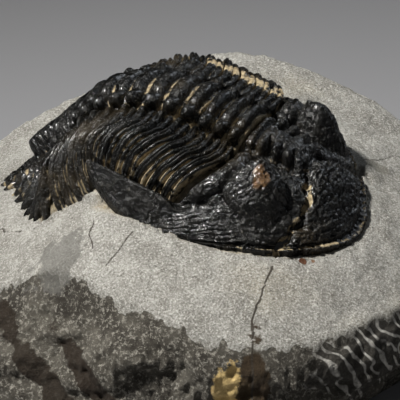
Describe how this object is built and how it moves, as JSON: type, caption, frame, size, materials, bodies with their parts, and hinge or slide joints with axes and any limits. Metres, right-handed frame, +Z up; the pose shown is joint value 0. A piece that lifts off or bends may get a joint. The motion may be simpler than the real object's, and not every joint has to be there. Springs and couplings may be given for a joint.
{
  "type": "trilobite fossil in matrix",
  "caption": "Whole spiny trilobite, dark and ribbed, with compound eyes and swept-back cheek and tail spines, prepared standing proud of a rough block of pale limestone.",
  "frame": {"origin": "middle of the bounding box on the plane of the flat base", "axes": "+Z up from the flat base, +X along the block's length, towards the animal's head end"},
  "size_m": [0.0972, 0.0834, 0.0449],
  "materials": {
    "limestone": "pale matt prepared limestone, rough grey-brown where it is broken",
    "fossil_shell": "black calcite shell with a satin shine, tan matrix left in its furrows"
  },
  "bodies": {
    "root": {"matrix_stone": "limestone", "head_shield": "fossil_shell", "thorax_segment_01": "fossil_shell", "thorax_segment_02": "fossil_shell", "thorax_segment_03": "fossil_shell", "thorax_segment_04": "fossil_shell", "thorax_segment_05": "fossil_shell", "thorax_segment_06": "fossil_shell", "thorax_segment_07": "fossil_shell", "thorax_segment_08": "fossil_shell", "thorax_segment_09": "fossil_shell", "thorax_segment_10": "fossil_shell", "thorax_segment_11": "fossil_shell", "tail_shield": "fossil_shell"}
  },
  "joints": []
}
